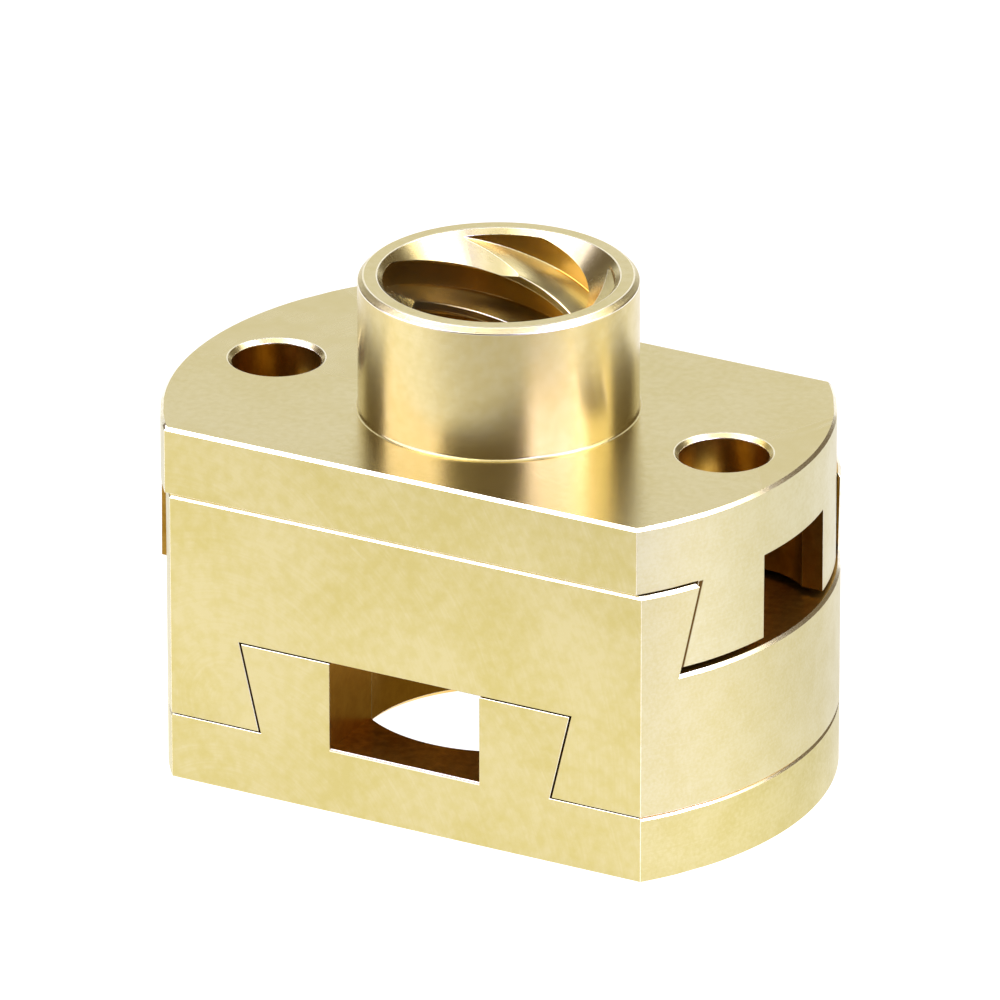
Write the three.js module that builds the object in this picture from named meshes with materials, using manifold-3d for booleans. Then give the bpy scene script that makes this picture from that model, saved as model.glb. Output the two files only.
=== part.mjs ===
// A compact Oldham coupling that carries a lead-screw nut: three brass pieces joined by two crossed dovetails.
// Millimetres. The origin is the centre of the lower flange's bottom face, on the axis of its bore.
// +Z runs up the lead screw, +X runs through the two screw holes.
import * as THREE from "three";
import { mergeVertices } from "three/addons/utils/BufferGeometryUtils.js";
import Module from "manifold-3d";

const wasm = await Module();
wasm.setup();

// The outline that all three pieces share: a round bar with a flat milled on two sides.
const RIM_RADIUS = 12;
const ACROSS_FLATS = 14.85;
const RIM_STEPS = 28; // facets round each curved end

// Heights of the stack.
const PLATE_TOP = 2.45; // top face of the lower flange's plate
const FLANGE_BOTTOM = 11; // underside of the nut flange
const FLANGE_TOP = 13.5;
const BOSS_TOP = 18.5;
const SEAM = 0.05; // gap between faces that slide over each other

// Screw holes, on the X axis of both flanges.
const HOLE_SPACING = 18;
const HOLE_RADIUS = 1.6;
const HOLE_CHAMFER = 0.16;
const HOLE_STEPS = 24;
const HEAD_RECESS_RADIUS = 3; // room for a screw head between the nut flange's rails

// Rails and the grooves that they run in. Each width is half of the whole pair's width, from the middle plane.
const LOWER_RAIL = { slot: 3, foot: 5.8, tip: 6.58, height: 3.3 };
const UPPER_RAIL = { slot: 2.27, foot: 5.28, tip: 6, height: 3.16 };
const FLANK_GAP = 0.08; // running gap beside each rail
const LOWER_TIP_GAP = 0.06; // between the lower rails and the roof of their groove
const UPPER_TIP_GAP = 0.19; // between the upper rails and the floor of their groove

// Clearance bore of the lower flange and the cross slider.
const BORE_RADIUS = 5.25;
const BORE_CHAMFER = 0.2;
const BORE_STEPS = 64;

// Boss and its four-start trapezoidal thread, 8 mm across with a lead of 8 mm.
const BOSS_RADIUS = 5;
const BOSS_CHAMFER = 0.2;
const BOSS_STEPS = 72;
const THREAD_STARTS = 4;
const THREAD_LEAD = 8;
const THREAD_MINOR_RADIUS = 3.05;
const THREAD_MAJOR_RADIUS = 4.12;
const THREAD_CREST_DEGREES = 11; // of each start's 90 degrees, with two flanks and one root
const THREAD_FLANK_DEGREES = 20.5;
const THREAD_PHASE_DEGREES = -9; // turn of the thread about Z at the boss's top face
const THREAD_STEP = 0.4; // along Z
const THREAD_OVERRUN = 0.8; // how far the tap passes both ends
const COUNTERSINK_RADIUS = 4.31;
const COUNTERSINK_DEPTH = 1.35; // to the thread's minor radius

// The nut flange stands a little off centre along its rails.
const NUT_REST_X = -0.2;

const brass = (color, roughness) =>
  new THREE.MeshStandardMaterial({ color, roughness, metalness: 1 });

// A closed geometry as a manifold-3d solid.
function solid(geometry) {
  const bare = geometry.clone();
  bare.deleteAttribute("normal");
  bare.deleteAttribute("uv");
  const merged = mergeVertices(bare, 1e-4);
  return new wasm.Manifold(
    new wasm.Mesh({
      numProp: 3,
      vertProperties: new Float32Array(merged.attributes.position.array),
      triVerts: new Uint32Array(merged.index.array),
    }),
  );
}

// A manifold-3d solid as a named mesh.
function pieceMesh(name, shape, material) {
  const made = shape.getMesh();
  const geometry = new THREE.BufferGeometry();
  geometry.setAttribute("position", new THREE.BufferAttribute(made.vertProperties, 3));
  geometry.setIndex(new THREE.BufferAttribute(made.triVerts, 1));
  geometry.computeVertexNormals();
  const mesh = new THREE.Mesh(geometry, material);
  mesh.name = name;
  return mesh;
}

// A slab of the shared outline between two heights.
function blank(bottom, top) {
  const flatAngle = Math.asin(ACROSS_FLATS / 2 / RIM_RADIUS);
  const outline = new THREE.Shape();
  outline.absarc(0, 0, RIM_RADIUS, -flatAngle, flatAngle);
  outline.absarc(0, 0, RIM_RADIUS, Math.PI - flatAngle, Math.PI + flatAngle);
  outline.closePath();
  const slab = new THREE.ExtrudeGeometry(outline, {
    depth: top - bottom,
    bevelEnabled: false,
    curveSegments: RIM_STEPS,
  });
  return solid(slab.translate(0, 0, bottom));
}

// A solid of revolution about a vertical axis at x, from [radius, height] points that rise from the axis.
function turned(points, steps, x = 0) {
  const profile = points.map(([radius, height]) => new THREE.Vector2(radius, height));
  const lathe = new THREE.LatheGeometry(profile, steps);
  return solid(lathe.rotateX(Math.PI / 2).translate(x, 0, 0));
}

// A drill from bottom to top whose two mouths open by a 45 degree chamfer.
function chamferedDrill(radius, chamfer, bottom, top, steps, x = 0) {
  const mouth = radius + 2 * chamfer;
  return turned(
    [
      [0, bottom - chamfer],
      [mouth, bottom - chamfer],
      [radius, bottom + chamfer],
      [radius, top - chamfer],
      [mouth, top + chamfer],
      [0, top + chamfer],
    ],
    steps,
    x,
  );
}

// A bar of the given [across, height] section, longer than the piece, along Y or turned along X.
function bar(section, alongX) {
  const length = 4 * RIM_RADIUS;
  const shape = new THREE.Shape(section.map(([across, height]) => new THREE.Vector2(across, height)));
  const geometry = new THREE.ExtrudeGeometry(shape, { depth: length, bevelEnabled: false });
  geometry.translate(0, 0, -length / 2).rotateX(Math.PI / 2);
  if (alongX) geometry.rotateZ(Math.PI / 2);
  return solid(geometry);
}

// Half the width of a rail pair at a distance from its foot, which may run past both ends of the flank.
const railWidth = (rail, reach) => rail.foot + ((rail.tip - rail.foot) * reach) / rail.height;

// Two half-dovetail rails that grow from the height foot towards side (1 up, -1 down), and their root
// inside the flange.
function railPair(rail, foot, side, alongX) {
  const root = 0.5;
  const halves = [1, -1].map((hand) => {
    const corners = [
      [hand * rail.slot, foot - side * root],
      [hand * rail.foot, foot - side * root],
      [hand * rail.foot, foot],
      [hand * rail.tip, foot + side * rail.height],
      [hand * rail.slot, foot + side * rail.height],
    ];
    return bar(hand * side > 0 ? corners : corners.reverse(), alongX);
  });
  return halves[0].add(halves[1]);
}

// The dovetail groove that a rail pair runs in: flanks a running gap outside the rails, cut past the
// rails' tips by tipGap and out through the mouth.
function dovetailGroove(rail, foot, side, tipGap, alongX) {
  const mouth = -1;
  const depth = rail.height + tipGap;
  const half = (reach) => railWidth(rail, reach) + FLANK_GAP;
  const corners = [
    [-half(mouth), foot + side * mouth],
    [half(mouth), foot + side * mouth],
    [half(depth), foot + side * depth],
    [-half(depth), foot + side * depth],
  ];
  return bar(side > 0 ? corners : corners.reverse(), alongX);
}

// One screw hole at each end of the X axis.
const screwHoles = (bottom, top, middle) =>
  [-1, 1].map((hand) =>
    chamferedDrill(HOLE_RADIUS, HOLE_CHAMFER, bottom, top, HOLE_STEPS, middle + (hand * HOLE_SPACING) / 2),
  );

const cutAll = (shape, cutters) => cutters.reduce((rest, cutter) => rest.subtract(cutter), shape);

// The space that the tap clears: a four-lobed section, turned as it rises so that its lobes follow a
// right-hand helix.
function threadSpace(bottom, top, middle) {
  const radians = THREE.MathUtils.degToRad;
  const section = new THREE.Shape();
  const arc = (radius, start, sweep) =>
    section.absarc(0, 0, radius, radians(start), radians(start + sweep));
  const startDegrees = 360 / THREAD_STARTS;
  const rootDegrees = startDegrees - THREAD_CREST_DEGREES - 2 * THREAD_FLANK_DEGREES;
  for (let start = 0; start < THREAD_STARTS; start++) {
    const first = start * startDegrees - THREAD_CREST_DEGREES / 2;
    arc(THREAD_MINOR_RADIUS, first, THREAD_CREST_DEGREES);
    arc(THREAD_MAJOR_RADIUS, first + THREAD_CREST_DEGREES + THREAD_FLANK_DEGREES, rootDegrees);
  }
  section.closePath();
  const depth = top - bottom;
  const geometry = new THREE.ExtrudeGeometry(section, {
    depth,
    steps: Math.ceil(depth / THREAD_STEP),
    bevelEnabled: false,
    curveSegments: 4,
  });
  geometry.translate(0, 0, bottom);
  const place = geometry.attributes.position;
  const point = new THREE.Vector3();
  const upward = new THREE.Vector3(0, 0, 1);
  for (let i = 0; i < place.count; i++) {
    point.fromBufferAttribute(place, i);
    const turn = radians(THREAD_PHASE_DEGREES) + (2 * Math.PI * (point.z - BOSS_TOP)) / THREAD_LEAD;
    point.applyAxisAngle(upward, turn);
    place.setXYZ(i, point.x, point.y, point.z);
  }
  return solid(geometry.translate(middle, 0, 0));
}

// Lower flange: the plate that is screwed to the machine's bracket, with its rails along Y.
function lowerFlange() {
  const railTop = PLATE_TOP + LOWER_RAIL.height;
  const rails = railPair(LOWER_RAIL, PLATE_TOP, 1, false).intersect(blank(0.5, railTop));
  return cutAll(blank(0, PLATE_TOP).add(rails), [
    chamferedDrill(BORE_RADIUS, BORE_CHAMFER, 0, railTop + 1, BORE_STEPS),
    ...screwHoles(0, PLATE_TOP, 0),
  ]);
}

// Cross slider: the middle block, grooved along Y below and along X above.
function crossSlider() {
  return cutAll(blank(PLATE_TOP + SEAM, FLANGE_BOTTOM - SEAM), [
    dovetailGroove(LOWER_RAIL, PLATE_TOP, 1, LOWER_TIP_GAP, false),
    dovetailGroove(UPPER_RAIL, FLANGE_BOTTOM, -1, UPPER_TIP_GAP, true),
    chamferedDrill(BORE_RADIUS, 0, PLATE_TOP, FLANGE_BOTTOM, BORE_STEPS),
  ]);
}

// Nut flange: flange, rails along X and threaded boss in one piece.
function nutFlange() {
  const railTip = FLANGE_BOTTOM - UPPER_RAIL.height;
  const rails = railPair(UPPER_RAIL, FLANGE_BOTTOM, -1, true).intersect(blank(railTip, FLANGE_TOP - 1));
  const boss = turned(
    [
      [0, FLANGE_TOP - 1],
      [BOSS_RADIUS, FLANGE_TOP - 1],
      [BOSS_RADIUS, BOSS_TOP - BOSS_CHAMFER],
      [BOSS_RADIUS - BOSS_CHAMFER, BOSS_TOP],
      [0, BOSS_TOP],
    ],
    BOSS_STEPS,
  );
  const slope = (COUNTERSINK_RADIUS - THREAD_MINOR_RADIUS) / COUNTERSINK_DEPTH;
  const countersink = turned(
    [
      [0, BOSS_TOP - COUNTERSINK_RADIUS / slope],
      [COUNTERSINK_RADIUS + slope, BOSS_TOP + 1],
      [0, BOSS_TOP + 1],
    ],
    BOSS_STEPS,
  );
  const headRecesses = [-1, 1].map((hand) =>
    chamferedDrill(HEAD_RECESS_RADIUS, 0, railTip - 1, FLANGE_BOTTOM, HOLE_STEPS * 2, (hand * HOLE_SPACING) / 2),
  );
  return cutAll(blank(FLANGE_BOTTOM, FLANGE_TOP).add(rails).add(boss), [
    threadSpace(railTip - THREAD_OVERRUN, BOSS_TOP + THREAD_OVERRUN, 0),
    countersink,
    ...screwHoles(FLANGE_BOTTOM, FLANGE_TOP, 0),
    ...headRecesses,
  ]);
}

const coupling = new THREE.Group();
coupling.add(pieceMesh("lower_flange", lowerFlange(), brass(0xd9c48a, 0.32)));
coupling.add(pieceMesh("cross_slider", crossSlider(), brass(0xdcc88f, 0.3)));

const nut = new THREE.Group();
nut.position.x = NUT_REST_X;
nut.add(pieceMesh("nut_flange", nutFlange(), brass(0xd6c084, 0.34)));
coupling.add(nut);

export default coupling;
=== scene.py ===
import math

import bmesh
import bpy
import numpy as np
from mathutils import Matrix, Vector


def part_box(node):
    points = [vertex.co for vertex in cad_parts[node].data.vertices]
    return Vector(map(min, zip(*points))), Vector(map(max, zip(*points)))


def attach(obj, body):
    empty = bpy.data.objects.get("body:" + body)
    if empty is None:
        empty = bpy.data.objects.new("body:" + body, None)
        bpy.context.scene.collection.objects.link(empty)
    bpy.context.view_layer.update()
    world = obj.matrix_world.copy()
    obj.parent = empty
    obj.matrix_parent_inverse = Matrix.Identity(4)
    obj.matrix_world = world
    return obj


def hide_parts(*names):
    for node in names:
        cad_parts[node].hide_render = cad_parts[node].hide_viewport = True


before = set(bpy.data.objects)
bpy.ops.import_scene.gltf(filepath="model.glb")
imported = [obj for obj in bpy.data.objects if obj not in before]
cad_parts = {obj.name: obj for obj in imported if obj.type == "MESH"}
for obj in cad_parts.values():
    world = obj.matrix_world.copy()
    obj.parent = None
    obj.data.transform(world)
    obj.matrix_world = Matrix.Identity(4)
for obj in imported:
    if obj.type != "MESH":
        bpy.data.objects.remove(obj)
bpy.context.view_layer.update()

# ---------------------------------------------------------------------------------------------------
# Lower flange: a brass plate with two half-dovetail rails on top, milled from round bar. Its two long
# sides are milled flat, the lead screw passes through the bore with room to wander, and two screws
# hold it to the machine's bracket. It is the piece that the rest of the coupling slides on.
# ---------------------------------------------------------------------------------------------------
MM = 0.001
lower_low, lower_high = (np.array(corner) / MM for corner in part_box("lower_flange"))

rim_radius = lower_high[0]
half_across_flats = lower_high[1]
plate_top = 2.45
lower_rail = {"slot": 3.0, "foot": 5.8, "tip": 6.58, "height": lower_high[2] - plate_top}
bore_radius = 5.25
screw_x = 9.0
screw_hole_radius = 1.6
hole_chamfer = 0.16


def closed_skin(name, rings):
    """A closed mesh from a stack of rings, given as an array (rows, points, 3) whose points run
    anticlockwise as seen from the last row. Point j of row k is the surface at (k, j): each row is
    joined to the next by quads that wrap round, and flat faces close the first and last rows."""
    rings = np.asarray(rings, float)
    rows, points = rings.shape[:2]
    here = np.arange(rows * points).reshape(rows, points)
    ahead = np.roll(here, -1, axis=1)
    walls = np.stack([here[:-1], ahead[:-1], ahead[1:], here[1:]], axis=-1).reshape(-1, 4)
    mesh = bpy.data.meshes.new(name)
    mesh.from_pydata(
        rings.reshape(-1, 3).tolist(), [], [*walls.tolist(), here[0][::-1].tolist(), here[-1].tolist()]
    )
    solid = bpy.data.objects.new(name, mesh)
    bpy.context.scene.collection.objects.link(solid)
    return solid


def stacked(outline, heights, grow=None):
    """Rings that repeat a flat outline (points, 2) at each height, scaled about the axis by grow."""
    heights = np.asarray(heights, float)
    grow = np.ones_like(heights) if grow is None else np.asarray(grow, float)
    flat = outline[None] * grow[:, None, None]
    lift = np.broadcast_to(heights[:, None, None], flat.shape[:2] + (1,))
    return np.concatenate([flat, lift], axis=-1)


def circle(count):
    """A unit circle: the point at angle a is (cos a, sin a)."""
    angle = np.linspace(0, 2 * np.pi, count, endpoint=False)
    return np.stack([np.cos(angle), np.sin(angle)], axis=-1)


def bar_outline():
    """The outline shared by the three pieces: two arcs of the round bar, each from one milled flat to
    the other. The arcs' points stand at even angles between the heights y where rails are cut, and
    none stands between 5.1 and 6.25, where the slanting flanks leave through the turned end."""
    marks = np.degrees(np.arcsin(np.array([0.0, 2.27, 5.1, 6.25, half_across_flats]) / rim_radius))
    angle = [marks[-1:]]
    for start, stop, steps in zip(marks[:-1], marks[1:], (5, 7, 1, 3)):
        angle.append(np.linspace(start, stop, steps, endpoint=False))
    angle = np.sort(np.concatenate(angle))
    angle = np.radians(np.concatenate([-angle[:0:-1], angle]))
    angle = np.concatenate([angle, angle + np.pi])
    return rim_radius * np.stack([np.cos(angle), np.sin(angle)], axis=-1)


def bar_stock(name, bottom, top, x=0.0):
    """A slice of the milled bar between two heights, standing at x."""
    return closed_skin(name, stacked(bar_outline(), [bottom, top]) + np.array([x, 0.0, 0.0]))


def turned(name, profile, steps, x=0.0):
    """A profile of (radius, height) points, lowest first, carried round the vertical axis at x."""
    profile = np.asarray(profile, float)
    rings = stacked(circle(steps), profile[:, 1], profile[:, 0])
    return closed_skin(name, rings + np.array([x, 0.0, 0.0]))


def milled_bar(name, section, along):
    """A section of (across, height) points, anticlockwise, carried in a straight line along X or Y
    past both ends of the piece. Across is +Y for a cut along X, and +X for a cut along Y."""
    section = np.asarray(section, float)
    reach = np.array([2.0, -2.0])[:, None] * rim_radius * np.ones(len(section))
    across, height = (np.broadcast_to(column, reach.shape) for column in section.T)
    if along == "X":
        rings = np.stack([-reach, across, height], axis=-1)
    else:
        rings = np.stack([across, reach, height], axis=-1)
    return closed_skin(name, rings)


def drill(name, radius, chamfer, bottom, top, steps, x=0.0):
    """A drill with a 45 degree chamfer at both mouths of its hole."""
    mouth = radius + 2 * chamfer
    profile = [
        (mouth, bottom - chamfer),
        (radius, bottom + chamfer),
        (radius, top - chamfer),
        (mouth, top + chamfer),
    ]
    return turned(name, profile, steps, x)


def applied(solid):
    """Puts the result of a solid's modifiers in its mesh."""
    made = bpy.data.meshes.new_from_object(solid.evaluated_get(bpy.context.evaluated_depsgraph_get()))
    solid.modifiers.clear()
    solid.data = made


def machined(stock, cutters, joined=()):
    """The stock with the joined solids added and then every cutter's volume taken away."""
    tools = [*joined, *cutters]
    for tool in tools:
        step = stock.modifiers.new(tool.name, "BOOLEAN")
        step.operation = "UNION" if tool in joined else "DIFFERENCE"
        step.solver = "EXACT"
        step.object = tool
    applied(stock)
    for tool in tools:
        bpy.data.objects.remove(tool)


def node(tree, kind, sockets=None, **settings):
    """Adds one shader node. Settings are its own properties; sockets are its inputs, by name or
    number, each given a value or the output that feeds it."""
    made = tree.nodes.new("ShaderNode" + kind)
    for key, value in settings.items():
        setattr(made, key, value)
    for key, value in (sockets or {}).items():
        if isinstance(value, bpy.types.NodeSocket):
            tree.links.new(value, made.inputs[key])
        else:
            made.inputs[key].default_value = value
    return made


def computed(tree, operation, *values):
    """One step of arithmetic between the values, which are numbers or outputs."""
    return node(tree, "Math", dict(enumerate(values)), operation=operation).outputs[0]


def between(tree, value, start, stop, low=0.0, high=1.0):
    """Low where the value is at start, high at stop, in a straight line between and level beyond."""
    sockets = {"Value": value, "From Min": start, "From Max": stop, "To Min": low, "To Max": high}
    return node(tree, "MapRange", sockets).outputs[0]


def cut_brass(
    name, tool, plane, pale, deep, roughness, pitch, depth, grain, spread, ripple=None, painted_shade=None
):
    """Brass with the marks that a tool leaves on it. The marks are rings round the tool's centre (mm),
    seen along the axes that plane keeps, so plane (0, 0, 1) gives level lines and (1, 1, 0) rings
    round a vertical axis. Their height is noise along the ring's radius divided by the pitch (mm),
    worn away in patches, plus the ripple, all times the depth (mm). The colour goes from deep to pale
    with the marks, the patches, which are grain mm across, and a cloud about eight times as wide.
    Spread is how far the marks stretch a highlight across themselves, and stain, when given, is where a
    painted shade darkens the colour."""
    finish = bpy.data.materials.new(name)
    finish.use_nodes = True
    tree = finish.node_tree
    surface = tree.nodes["Principled BSDF"]
    place = node(tree, "TexCoord").outputs["Object"]
    centre = tuple(value * MM for value in tool)
    away = node(tree, "VectorMath", {0: place, 1: centre}, operation="SUBTRACT").outputs["Vector"]
    away = node(tree, "VectorMath", {0: away, 1: plane}, operation="MULTIPLY").outputs["Vector"]
    radius = node(tree, "VectorMath", {0: away}, operation="LENGTH").outputs["Value"]
    ring = computed(tree, "MULTIPLY", radius, 1 / (pitch * MM))
    marks = node(
        tree,
        "TexNoise",
        {"W": ring, "Scale": 1.0, "Detail": 3.0, "Roughness": 0.62},
        noise_dimensions="1D",
    ).outputs[0]
    patches = node(
        tree, "TexNoise", {"Vector": place, "Scale": 1 / (grain * MM), "Detail": 4.0, "Roughness": 0.6}
    ).outputs[0]
    cloud = node(
        tree,
        "TexNoise",
        {"Vector": place, "Scale": 0.12 / (grain * MM), "Detail": 2.0, "Roughness": 0.5},
    ).outputs[0]
    height = computed(tree, "MULTIPLY", marks, between(tree, patches, 0.35, 0.65))
    if ripple is not None:
        height = computed(tree, "ADD", height, ripple(tree, place))
    shade = computed(tree, "MULTIPLY_ADD", patches, 0.3, height)
    shade = computed(tree, "MULTIPLY_ADD", cloud, 1.4, shade)
    darkest, palest = 0.7, 1.5
    colour = mixed(tree, between(tree, shade, darkest, palest), deep, pale)
    if painted_shade is not None:
        # Painted shade: a dark brown mixed into the colour where the mask is 1.
        joint_shade_colour = (0.10, 0.05, 0.01)
        colour = mixed(tree, painted_shade(tree, place), colour, joint_shade_colour)
    tree.links.new(colour, surface.inputs["Base Color"])
    rough = between(tree, shade, darkest, palest, roughness + 0.02, roughness - 0.02)
    tree.links.new(rough, surface.inputs["Roughness"])
    bump = node(tree, "Bump", {"Height": height, "Strength": 1.0, "Distance": depth * MM}).outputs[0]
    tree.links.new(bump, surface.inputs["Normal"])
    tree.links.new(away, surface.inputs["Tangent"])
    surface.inputs["Metallic"].default_value = 1.0
    surface.inputs["Anisotropic"].default_value = spread
    return finish


def mixed(tree, factor, low, high):
    """A colour that goes from low to high with the factor."""
    blend = tree.nodes.new("ShaderNodeMix")
    blend.data_type = "RGBA"
    tree.links.new(factor, blend.inputs[0])
    for socket, colour in ((blend.inputs[6], low), (blend.inputs[7], high)):
        if isinstance(colour, bpy.types.NodeSocket):
            tree.links.new(colour, socket)
        else:
            socket.default_value = (*colour, 1)
    return blend.outputs[2]


def painted(solid, finishes, choose):
    """Gives a solid its finishes. choose(centre, normal) takes the faces' centres and normals (n, 3)
    and gives the number of each face's finish."""
    faces = len(solid.data.polygons)
    centre, normal = np.empty(faces * 3), np.empty(faces * 3)
    solid.data.polygons.foreach_get("center", centre)
    solid.data.polygons.foreach_get("normal", normal)
    solid.data.materials.clear()
    for finish in finishes:
        solid.data.materials.append(finish)
    number = choose(centre.reshape(-1, 3), normal.reshape(-1, 3)).astype(np.int32)
    solid.data.polygons.foreach_set("material_index", number)


def vertices_of(solid):
    """The vertices of a solid's mesh (n, 3)."""
    points = np.empty(len(solid.data.vertices) * 3, np.float32)
    solid.data.vertices.foreach_get("co", points)
    return points.reshape(-1, 3)


def broken_edges(solid, highlight_material, width_at):
    """Takes a narrow flat chamfer off the sharp outer edges of a solid and gives it its own material, a
    near-white brass whose colour is a painted highlight.
    width_at takes the middles (n, 3) of those edges, their rises (0 level, 1 upright) and whether a
    face beside them looks up, and gives each chamfer's width in mm."""
    work = bmesh.new()
    work.from_mesh(solid.data)
    bmesh.ops.remove_doubles(work, verts=work.verts, dist=1e-4)
    share = work.edges.layers.float.new("bevel_weight_edge")
    sharp = [e for e in work.edges if len(e.link_faces) == 2 and e.is_convex and e.calc_face_angle() > 0.5]
    ends = np.array([[v.co for v in e.verts] for e in sharp])
    run = ends[:, 1] - ends[:, 0]
    rise = np.abs(run[:, 2]) / np.linalg.norm(run, axis=1)
    looks_up = np.array([max(face.normal.z for face in e.link_faces) > 0.9 for e in sharp])
    width = width_at(ends.mean(axis=1), rise, looks_up)
    for edge, amount in zip(sharp, width / width.max()):
        edge[share] = amount
    work.to_mesh(solid.data)
    work.free()
    box = [vertices_of(solid).min(axis=0), vertices_of(solid).max(axis=0)]
    solid.data.shade_smooth()
    bevel = solid.modifiers.new("edge_break", "BEVEL")
    bevel.limit_method = "WEIGHT"
    bevel.width = width.max()
    bevel.segments = 1
    bevel.use_clamp_overlap = False
    bevel.loop_slide = False
    bevel.material = solid.data.materials.find(highlight_material.name)
    applied(solid)
    solid.data.vertices.foreach_set("co", np.clip(vertices_of(solid), *box).ravel())
    solid.data.shade_smooth()
    solid.data.set_sharp_from_angle(angle=math.radians(34))
    flatten = solid.modifiers.new("flat_faces_stay_flat", "WEIGHTED_NORMAL")
    flatten.keep_sharp = True
    flatten.weight = 100
    applied(solid)


def turned_shading(solid, x=0.0):
    """Points the shading normals of the turned ends, which stand close to it already, straight out
    from the bar's axis at x."""
    mesh = solid.data
    corner = np.empty(len(mesh.loops), np.int32)
    normal = np.empty(len(mesh.loops) * 3, np.float32)
    mesh.loops.foreach_get("vertex_index", corner)
    mesh.corner_normals.foreach_get("vector", normal)
    normal = normal.reshape(-1, 3)
    out = vertices_of(solid)[corner] - np.array([x, 0, 0])
    out[:, 2] = 0
    reach = np.linalg.norm(out, axis=1)
    out /= reach[:, None] + 1e-9
    turned_here = (reach > rim_radius - 0.03) & ((out * normal).sum(axis=1) > 0.985)
    mesh.normals_split_custom_set(np.where(turned_here[:, None], out, normal).tolist())


def placed(solid, body, cad_node):
    solid.data.transform(((MM, 0, 0, 0), (0, MM, 0, 0), (0, 0, MM, 0), (0, 0, 0, 1)))
    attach(solid, body)
    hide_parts(cad_node)


def rail_half_width(rail, reach):
    """Half the width of a rail pair at a distance from its foot: a straight line through the foot's
    and the tip's half widths."""
    return rail["foot"] + (rail["tip"] - rail["foot"]) * reach / rail["height"]


def rail_cutters(rail, foot, side, along):
    """The milling cuts that leave a rail pair standing: the slot between the rails and the space
    outside each dovetail flank. Side is 1 for rails that point up and -1 for down."""
    past = rail["height"] + 1.0
    far = 2 * rim_radius
    slot = [(-rail["slot"], foot), (rail["slot"], foot), (rail["slot"], foot + side * past)]
    sections = [[*slot, (-rail["slot"], foot + side * past)]]
    for hand in (1, -1):
        sections.append(
            [
                (hand * rail["foot"], foot),
                (hand * far, foot),
                (hand * far, foot + side * past),
                (hand * rail_half_width(rail, past), foot + side * past),
            ]
        )
    turns = [side, side, -side]
    return [
        milled_bar("rail_cut", section if turn > 0 else section[::-1], along)
        for section, turn in zip(sections, turns)
    ]


lower_flange = bar_stock("lower_flange_brass", lower_low[2], lower_high[2])
machined(
    lower_flange,
    [
        *rail_cutters(lower_rail, plate_top, 1, "Y"),
        drill("bore", bore_radius, 0.2, lower_low[2], lower_high[2] + 1, 192),
        drill("screw_hole", screw_hole_radius, hole_chamfer, lower_low[2], plate_top, 96, screw_x),
        drill("screw_hole", screw_hole_radius, hole_chamfer, lower_low[2], plate_top, 96, -screw_x),
    ],
)


def bar_surfaces(centre, normal, x=0.0):
    """0 on the milled flats, 1 on the turned ends, 2 on level faces and 3 on every other cut."""
    on_flat = (np.abs(centre[:, 1]) > half_across_flats - 0.01) & (np.abs(normal[:, 1]) > 0.9)
    on_end = (np.hypot(centre[:, 0] - x, centre[:, 1]) > rim_radius - 0.05) & (np.abs(normal[:, 2]) < 0.5)
    on_level = np.abs(normal[:, 2]) > 0.99
    return np.select([on_flat, on_end, on_level], [0, 1, 2], 3)


milled_pale, milled_deep = (0.595, 0.515, 0.255), (0.55, 0.465, 0.175)
turned_pale, turned_deep = (0.64, 0.59, 0.365), (0.60, 0.54, 0.29)
level_pale, level_deep = (0.68, 0.60, 0.35), (0.64, 0.555, 0.28)
# Darker, redder brass for the hollows and cut walls: painted shade and a painted amber reflection of the
# brass around them.
hollow_shade_pale, hollow_shade_deep = (0.66, 0.42, 0.09), (0.45, 0.25, 0.03)
# Near-white brass for the chamfers, whose colour is a painted highlight.
edge_highlight_pale, edge_highlight_deep = (0.97, 0.93, 0.80), (0.90, 0.82, 0.58)

painted_highlight = cut_brass(
    "painted_highlight_edge", (0, 0, 0), (0, 0, 1), edge_highlight_pale, edge_highlight_deep, 0.24, 0.05, 0.001, 0.25, 0.0
)
# Painted shade and painted amber reflection on the slider's cut walls.
shaded_hollows = cut_brass(
    "shaded_hollows", (0, -20, 0), (0.6, 1, 0.3), hollow_shade_pale, hollow_shade_deep, 0.30, 0.07, 0.003, 0.6, 0.3
)
lower_end_pale, lower_end_deep = (0.60, 0.53, 0.25), (0.55, 0.475, 0.18)
# Level faces and cut walls of the lower flange, mostly in its slot: painted shade and a painted amber
# reflection of the brass around them.
lower_face_shade_pale = (0.75, 0.46, 0.10)
lower_hollow_shade_pale, lower_hollow_shade_deep = (0.98, 0.62, 0.11), (0.80, 0.46, 0.06)
lower_finishes = [
    cut_brass(
        "lower_flat", (-7, 0, -3), (1, 0, 1), milled_pale, milled_deep, 0.32, 0.11, 0.003, 0.5, 0.3
    ),
    cut_brass(
        "lower_end", (0, 0, -30), (0, 0, 1), lower_end_pale, lower_end_deep, 0.36, 0.07, 0.003, 0.15, 0.75
    ),
    cut_brass(
        "lower_face", (0, -9, 0), (1, 1, 0), lower_face_shade_pale, hollow_shade_deep, 0.30, 0.06, 0.002, 0.4, 0.3
    ),
    cut_brass(
        "lower_inside",
        (0, -20, 0),
        (0.6, 1, 0.3),
        lower_hollow_shade_pale,
        lower_hollow_shade_deep,
        0.30,
        0.07,
        0.003,
        0.6,
        0.3,
    ),
    painted_highlight,
]


hairline = 0.012


def lower_edge_widths(middle, rise, looks_up):
    """Wide along the top of the turned ends and the slot's floor, narrow where the flats are cut."""
    off_flat = np.abs(middle[:, 1]) < 7.4
    in_slot = np.abs(middle[:, 0]) < lower_rail["slot"]
    wide = looks_up & (rise < 0.5) & (off_flat | in_slot) & (middle[:, 2] < plate_top + 0.1)
    return np.where(wide, 0.1, hairline)


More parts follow.
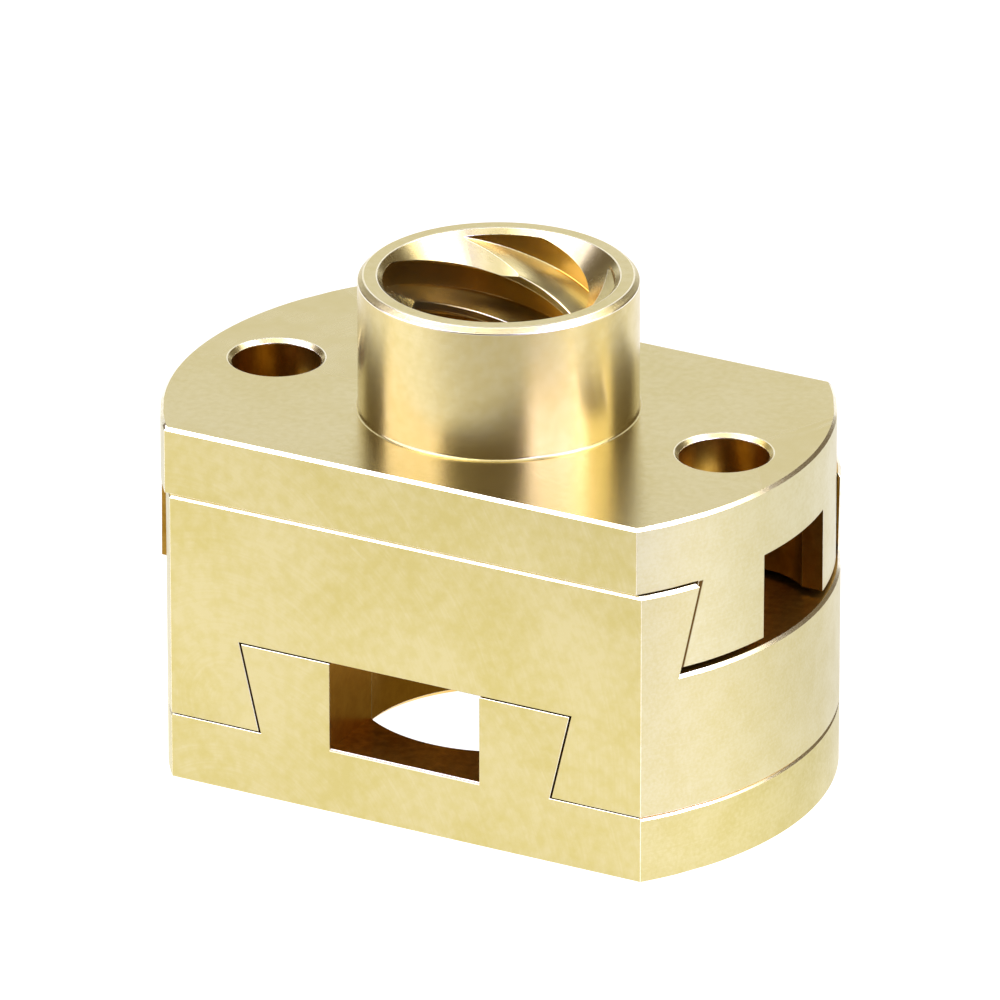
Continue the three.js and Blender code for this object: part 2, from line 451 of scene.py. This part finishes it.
painted(lower_flange, lower_finishes, bar_surfaces)
broken_edges(lower_flange, painted_highlight, lower_edge_widths)
turned_shading(lower_flange)
placed(lower_flange, "lower_flange", "lower_flange")


# ---------------------------------------------------------------------------------------------------
# Cross slider: the middle block, milled from the same bar. A dovetail groove along Y in its underside
# runs on the lower flange's rails, and one along X in its top takes the nut flange's rails, so the nut
# can drift both ways without tilting.
# ---------------------------------------------------------------------------------------------------
slider_low, slider_high = (np.array(corner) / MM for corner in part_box("cross_slider"))
upper_rail = {"slot": 2.27, "foot": 5.28, "tip": 6.0, "height": 3.16}
flange_bottom = 11.0
flank_gap = 0.08
lower_tip_gap = 0.06
upper_tip_gap = 0.19


def dovetail_cutter(rail, foot, side, tip_gap, along):
    """The dovetail groove for a rail pair: flanks parallel to the rails' own and a running gap outside
    them, from past the mouth to the tip gap beyond the rails' ends."""
    mouth, depth = -1.0, rail["height"] + tip_gap
    wide, deep = (rail_half_width(rail, reach) + flank_gap for reach in (mouth, depth))
    section = [
        (-wide, foot + side * mouth),
        (wide, foot + side * mouth),
        (deep, foot + side * depth),
        (-deep, foot + side * depth),
    ]
    return milled_bar("dovetail_cut", section if side > 0 else section[::-1], along)


cross_slider = bar_stock("cross_slider_brass", slider_low[2], slider_high[2])
machined(
    cross_slider,
    [
        dovetail_cutter(lower_rail, plate_top, 1, lower_tip_gap, "Y"),
        dovetail_cutter(upper_rail, flange_bottom, -1, upper_tip_gap, "X"),
        drill("bore", bore_radius, 0.0, slider_low[2] - 1, slider_high[2] + 1, 192),
    ],
)
slider_end_pale, slider_end_deep = (0.62, 0.56, 0.32), (0.58, 0.51, 0.245)
slider_finishes = [
    cut_brass(
        "slider_flat", (-7, 0, 3.3), (1, 0, 1), milled_pale, milled_deep, 0.32, 0.12, 0.004, 0.5, 0.3
    ),
    cut_brass(
        "slider_end", (0, 0, -30), (0, 0, 1), slider_end_pale, slider_end_deep, 0.36, 0.05, 0.002, 0.12, 0.7
    ),
    # Level faces, mostly the grooves' floors: painted shade and painted amber reflection.
    cut_brass(
        "slider_face", (-9, 0, 0), (1, 1, 0), hollow_shade_pale, hollow_shade_deep, 0.30, 0.06, 0.002, 0.4, 0.3
    ),
    shaded_hollows,
    painted_highlight,
]


def slider_edge_widths(middle, rise, looks_up):
    """Wide round the top and along the upper groove's floor, less where the upper groove's flanks
    leave through the ends, and a hair's width elsewhere."""
    upper_half = middle[:, 2] > 7
    along_flank = upper_half & (rise > 0.5) & (np.abs(middle[:, 1]) < 6.3)
    round_top = upper_half & (rise < 0.5) & looks_up
    return np.select([along_flank, round_top], [0.05, 0.11], hairline)


painted(cross_slider, slider_finishes, bar_surfaces)
broken_edges(cross_slider, painted_highlight, slider_edge_widths)
turned_shading(cross_slider)
placed(cross_slider, "cross_slider", "cross_slider")

# ---------------------------------------------------------------------------------------------------
# Nut flange: one brass turning with its boss, threaded through for the four-start lead screw. Rails
# for the slider's upper groove are milled under it, two screw holes are drilled beside the boss, and
# a recess for a screw head opens into the slot under each hole.
# ---------------------------------------------------------------------------------------------------
nut_low, nut_high = (np.array(corner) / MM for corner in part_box("nut_flange"))
nut_x = (nut_low[0] + nut_high[0]) / 2
flange_top = 13.5
boss_top = nut_high[2]
boss_radius = 5.0
boss_chamfer = 0.2
boss_fillet = 0.12
head_recess_radius = 3.0
thread = {"starts": 4, "lead": 8.0, "minor": 3.05, "major": 4.12, "crest": 11.0, "flank": 20.5, "phase": -9.0}
countersink_radius = 4.31
countersink_depth = 1.35


def tap(bottom, top, step=0.1):
    """The space that the tap clears. At the height z the point at angle a lies at the radius
    r(a - 360 z / lead): minor over each crest, major over each root, and a smooth S between them."""
    period = 360 / thread["starts"]
    half_crest = thread["crest"] / 2
    flank = np.linspace(0, 1, 15)
    angle = np.concatenate(
        [
            np.linspace(-half_crest, half_crest, 9)[:-1],
            half_crest + thread["flank"] * flank[:-1],
            np.linspace(half_crest + thread["flank"], period - half_crest - thread["flank"], 9)[:-1],
            period - half_crest - thread["flank"] * (1 - flank[:-1]),
        ]
    )
    across = (np.abs((angle + period / 2) % period - period / 2) - half_crest) / thread["flank"]
    ramp = np.clip(across, 0, 1)
    corner = 0.16
    rise = np.where(
        ramp < corner,
        ramp**2 / (2 * corner),
        np.where(ramp > 1 - corner, 1 - corner - (1 - ramp) ** 2 / (2 * corner), ramp - corner / 2),
    ) / (1 - corner)
    radius = thread["minor"] + (thread["major"] - thread["minor"]) * rise
    angle = (angle[None] + period * np.arange(thread["starts"])[:, None]).ravel()
    radius = np.tile(radius, thread["starts"])
    height = np.linspace(bottom, top, int((top - bottom) / step) + 1)
    climb = 2 * np.pi * (height[:, None] - boss_top) / thread["lead"]
    turn = np.radians(angle[None] + thread["phase"]) + climb
    rings = np.stack(
        [nut_x + radius * np.cos(turn), radius * np.sin(turn), np.broadcast_to(height[:, None], turn.shape)],
        axis=-1,
    )
    return closed_skin("tap", rings)


def boss_turning():
    """The boss: a straight wall with a small fillet at its foot and a chamfer at its top edge."""
    sweep = np.linspace(0, np.pi / 2, 7)
    foot = np.stack(
        [
            boss_radius + boss_fillet * (1 - np.sin(sweep)),
            flange_top - 0.003 + boss_fillet * (1 - np.cos(sweep)),
        ],
        axis=-1,
    )
    profile = [
        (boss_radius + boss_fillet, flange_top - 1.0),
        *foot,
        (boss_radius, boss_top - boss_chamfer),
        (boss_radius - boss_chamfer, boss_top),
    ]
    return turned("boss", profile, 256, nut_x)


def countersink():
    """A cone from the boss's top face down to a point on the axis, below the thread's minor radius."""
    slope = (countersink_radius - thread["minor"]) / countersink_depth
    tip = boss_top - countersink_radius / slope
    profile = [(0.02, tip + 0.02 / slope), (countersink_radius + slope, boss_top + 1.0)]
    return turned("countersink", profile, 256, nut_x)


nut_flange = bar_stock("nut_flange_brass", nut_low[2], flange_top, nut_x)
rail_cuts = rail_cutters(upper_rail, flange_bottom, -1, "X")
machined(
    nut_flange,
    [
        *rail_cuts,
        tap(nut_low[2] - 0.8, boss_top + 0.8),
        countersink(),
        drill("screw_hole", screw_hole_radius, hole_chamfer, flange_bottom, flange_top, 96, nut_x + screw_x),
        drill("screw_hole", screw_hole_radius, hole_chamfer, flange_bottom, flange_top, 96, nut_x - screw_x),
        drill("recess", head_recess_radius, 0.0, nut_low[2] - 1, flange_bottom, 128, nut_x + screw_x),
        drill("recess", head_recess_radius, 0.0, nut_low[2] - 1, flange_bottom, 128, nut_x - screw_x),
    ],
    joined=[boss_turning()],
)


def nut_surfaces(centre, normal):
    """The bar's surfaces, then 4 the boss's wall, 5 the thread's roots, 6 its crests, 7 the cone, 9 the
    chamfer round the boss's top."""
    from_axis = np.hypot(centre[:, 0] - nut_x, centre[:, 1])
    inside = from_axis < countersink_radius - 0.005
    steep = np.abs(normal[:, 2]) < 0.95
    on_boss = (centre[:, 2] > flange_top) & ~inside & (np.abs(normal[:, 2]) < 0.9)
    on_cone = inside & steep & (normal[:, 2] > 0.3) & (centre[:, 2] > boss_top - countersink_depth - 0.01)
    on_crest = inside & (from_axis < thread["major"] - 0.12)
    on_chamfer = on_boss & (centre[:, 2] > boss_top - boss_chamfer - 0.01)
    on_hole_chamfer = ~inside & ~on_boss & (normal[:, 2] > 0.3) & steep
    return np.select(
        [on_chamfer, on_hole_chamfer, on_boss, on_cone, on_crest, inside & steep],
        [9, 2, 4, 7, 6, 5],
        bar_surfaces(centre, normal, nut_x),
    )


def chatter(tree, place):
    """Wavy ridges 0.45 mm apart, left where the facing tool chattered near the flange's far corner."""
    across = node(
        tree, "VectorMath", {0: place, 1: (0.94, -0.34, 0)}, operation="DOT_PRODUCT"
    ).outputs["Value"]
    sway = node(tree, "TexNoise", {"Vector": place, "Scale": 0.9 / MM, "Detail": 1.0}).outputs[0]
    sway = computed(tree, "MULTIPLY", sway, 6.0)
    turns = 2 * math.pi / (0.45 * MM)
    wave = computed(tree, "SINE", computed(tree, "MULTIPLY_ADD", across, turns, sway))
    corner = (9.2 * MM, 5.4 * MM, flange_top * MM)
    away = node(tree, "VectorMath", {0: place, 1: corner}, operation="DISTANCE").outputs["Value"]
    return computed(tree, "MULTIPLY", wave, between(tree, away, 3.2 * MM, 1.2 * MM, 0.0, 1.2))


def painted_joint_shade(tree, place):
    """1 on the rail's end along its flanks, where a dark line of painted shade marks the joint with the
    slider, and 0 elsewhere.
    """
    axes = node(tree, "SeparateXYZ", {0: place}).outputs
    across = computed(tree, "ABSOLUTE", axes["Y"])
    lean = (upper_rail["tip"] - upper_rail["foot"]) / upper_rail["height"]
    foot = (upper_rail["foot"] + lean * flange_bottom) * MM
    flank = computed(tree, "MULTIPLY_ADD", axes["Z"], -lean, foot)
    near = between(tree, computed(tree, "SUBTRACT", flank, across), 0.19 * MM, 0.15 * MM)
    under = between(tree, axes["Z"], flange_bottom * MM, (flange_bottom - 0.03) * MM)
    return computed(tree, "MULTIPLY", near, under)


boss_pale, boss_deep = (0.68, 0.58, 0.30), (0.64, 0.53, 0.23)
# The nut's cut walls, rails and recesses: painted shade and a painted amber reflection of the brass around
# them.
nut_hollow_shade_pale, nut_hollow_shade_deep = (0.55, 0.33, 0.06), (0.38, 0.20, 0.02)
# Thread roots: painted shade and a painted amber reflection of the bore's brass.
root_shade_pale, root_shade_deep = (0.74, 0.50, 0.13), (0.66, 0.42, 0.09)
boss_axis, round_axis = (nut_x, 0, 0), (1, 1, 0)
far_below, level_lines = (0, 0, -30), (0, 0, 1)
nut_finishes = [
    cut_brass("nut_flat", (-9, 0, 6), (1, 0, 1), milled_pale, milled_deep, 0.32, 0.11, 0.003, 0.5, 0.3),
    cut_brass(
        "nut_end",
        far_below,
        level_lines,
        turned_pale,
        turned_deep,
        0.34,
        0.08,
        0.004,
        0.15,
        0.75,
        # Painted shade in the joint beside the slider's groove.
        painted_shade=painted_joint_shade,
    ),
    cut_brass(
        "nut_face",
        boss_axis,
        round_axis,
        level_pale,
        level_deep,
        0.28,
        0.12,
        0.003,
        1.0,
        0.2,
        ripple=chatter,
    ),
    cut_brass(
        "nut_inside",
        (0, -20, 0),
        (0.6, 1, 0.3),
        nut_hollow_shade_pale,
        nut_hollow_shade_deep,
        0.30,
        0.07,
        0.003,
        0.6,
        0.3,
    ),
    cut_brass("boss_wall", far_below, level_lines, boss_pale, boss_deep, 0.24, 0.06, 0.0007, 0.5, 0.88),
    cut_brass("thread_root", boss_axis, round_axis, root_shade_pale, root_shade_deep, 0.24, 0.05, 0.0005, 1.2, 0.0),
    cut_brass("thread_crest", far_below, level_lines, level_pale, level_deep, 0.24, 0.05, 0.0001, 0.3, 0.1),
    cut_brass("boss_cone", boss_axis, round_axis, level_pale, level_deep, 0.26, 0.05, 0.0003, 0.3, 0.3),
    painted_highlight,
    cut_brass("boss_chamfer", boss_axis, round_axis, level_pale, level_deep, 0.34, 0.05, 0.012, 0.12, 0.2),
]


def nut_edge_widths(middle, rise, looks_up):
    """Wide round the flange's top, less at the boss and the holes, a hair's width on the thread."""
    from_axis = np.hypot(middle[:, 0] - nut_x, middle[:, 1])
    from_hole = np.hypot(np.abs(middle[:, 0] - nut_x) - screw_x, middle[:, 1])
    width = np.where(looks_up & (rise < 0.5), 0.11, hairline)
    width = np.where(from_hole < screw_hole_radius + 0.4, 0.03, width)
    width = np.where(middle[:, 2] > flange_top + 0.05, 0.035, width)
    return np.where(from_axis < countersink_radius - 0.05, 0.01, width)


painted(nut_flange, nut_finishes, nut_surfaces)
broken_edges(nut_flange, painted_highlight, nut_edge_widths)
turned_shading(nut_flange, nut_x)
placed(nut_flange, "nut_flange", "nut_flange")

# ---------------------------------------------------------------------------------------------------
# Studio: a pale floor, soft boxes at the sides and behind, and a long lens at the front right.
# ---------------------------------------------------------------------------------------------------
def floor_sheet(name, points, faces):
    """A level sheet that glows a little: evenly in front of the part, less behind it, and less again
    beyond 26 mm towards the camera."""
    mesh = bpy.data.meshes.new(name)
    mesh.from_pydata(points, [], faces)
    sheet = bpy.data.objects.new(name, mesh)
    bpy.context.scene.collection.objects.link(sheet)
    pale = bpy.data.materials.new("pale_" + name)
    pale.use_nodes = True
    tree = pale.node_tree
    surface = tree.nodes["Principled BSDF"]
    surface.inputs["Base Color"].default_value = (0.15, 0.15, 0.15, 1)
    surface.inputs["Roughness"].default_value = 0.9
    surface.inputs["Emission Color"].default_value = (1, 1, 1, 1)
    place = node(tree, "TexCoord").outputs["Object"]
    depth = node(tree, "SeparateXYZ", {0: place}).outputs["Y"]
    glow = between(tree, depth, 0.012, -0.002, 0.93, 1.22)
    ahead = node(
        tree, "VectorMath", {0: place, 1: (0.473, -0.881, 0)}, operation="DOT_PRODUCT"
    ).outputs["Value"]
    glow = computed(tree, "MULTIPLY", glow, between(tree, ahead, 0.026, 0.040, 1.0, 0.35))
    tree.links.new(glow, surface.inputs["Emission Strength"])
    mesh.materials.append(pale)
    return sheet


# Under the bore the floor is a separate disc that the brass can't see, so that it doesn't light the
# bore from below.
steps = 96
bore_rim = [(x, y, 0) for x, y in 5.3 * MM * circle(steps)]
far_rim = [(x, y, 0) for x, y in 2.0 * circle(steps)]
ring_faces = [(k, steps + k, steps + (k + 1) % steps, (k + 1) % steps) for k in range(steps)]
floor_sheet("floor", bore_rim + far_rim, ring_faces)
bore_floor = floor_sheet("bore_floor", bore_rim, [tuple(range(steps))])
bore_floor.visible_glossy = False
bore_floor.visible_diffuse = False


def soft_box(name, azimuth, elevation, distance, width, height, radiance, tint):
    """A flat rectangular lamp, in metres, that faces the part. Azimuth is from +X towards +Y."""
    azimuth, elevation = math.radians(azimuth), math.radians(elevation)
    towards = Vector(
        (
            math.cos(azimuth) * math.cos(elevation),
            math.sin(azimuth) * math.cos(elevation),
            math.sin(elevation),
        )
    )
    light = bpy.data.lights.new(name, "AREA")
    light.shape = "RECTANGLE"
    light.size = width
    light.size_y = height
    light.color = tint
    light.energy = radiance * math.pi * width * height
    lamp = bpy.data.objects.new(name, light)
    lamp.location = towards * distance
    lamp.rotation_mode = "QUATERNION"
    lamp.rotation_quaternion = towards.to_track_quat("Z", "Y")
    lamp.visible_camera = False
    bpy.context.scene.collection.objects.link(lamp)


soft_box("left_box", -139, 32, 0.5, 0.5, 0.45, 2.5, (0.96, 0.92, 1.25))
soft_box("right_box", -12, 32, 0.5, 0.44, 0.45, 3.0, (0.93, 0.92, 1.7))
soft_box("far_right_box", 26, 32, 0.5, 0.28, 0.42, 2.0, (1, 0.92, 0.75))
soft_box("back_box", 120, 28, 0.6, 0.8, 0.72, 0.9, (0.97, 1.0, 1.0))
soft_box("top_box", -60, 78, 0.6, 0.36, 0.36, 1.8, (1, 1, 1))
soft_box("left_edge_box", -137, 62, 0.45, 0.34, 0.2, 3.4, (1, 1, 1))
soft_box("right_edge_box", 34, 56, 0.45, 0.34, 0.18, 3.4, (1, 1, 1))

world = bpy.data.worlds.new("studio")
bpy.context.scene.world = world
world.use_nodes = True
background = world.node_tree.nodes["Background"]
background.inputs["Color"].default_value = (1, 0.68, 0.25, 1)
background.inputs["Strength"].default_value = 0.13

azimuth, elevation = math.radians(28.22), math.radians(23.76)
back = Vector(
    (
        math.sin(azimuth) * math.cos(elevation),
        -math.cos(azimuth) * math.cos(elevation),
        math.sin(elevation),
    )
)
right = Vector((math.cos(azimuth), math.sin(azimuth), 0))
up = back.cross(right)
aim = Vector((0, 0, 11.765)) * MM - up * 1.769 * MM - right * 0.129 * MM
lens = bpy.data.cameras.new("camera")
lens.lens = 535.3
lens.sensor_width = 36
lens.clip_start = 0.05
lens.clip_end = 10
camera = bpy.data.objects.new("camera", lens)
camera.location = aim + back * 0.5275
camera.rotation_mode = "QUATERNION"
camera.rotation_quaternion = back.to_track_quat("Z", "Y")
bpy.context.scene.collection.objects.link(camera)
bpy.context.scene.camera = camera
bpy.context.scene.view_settings.view_transform = "Standard"
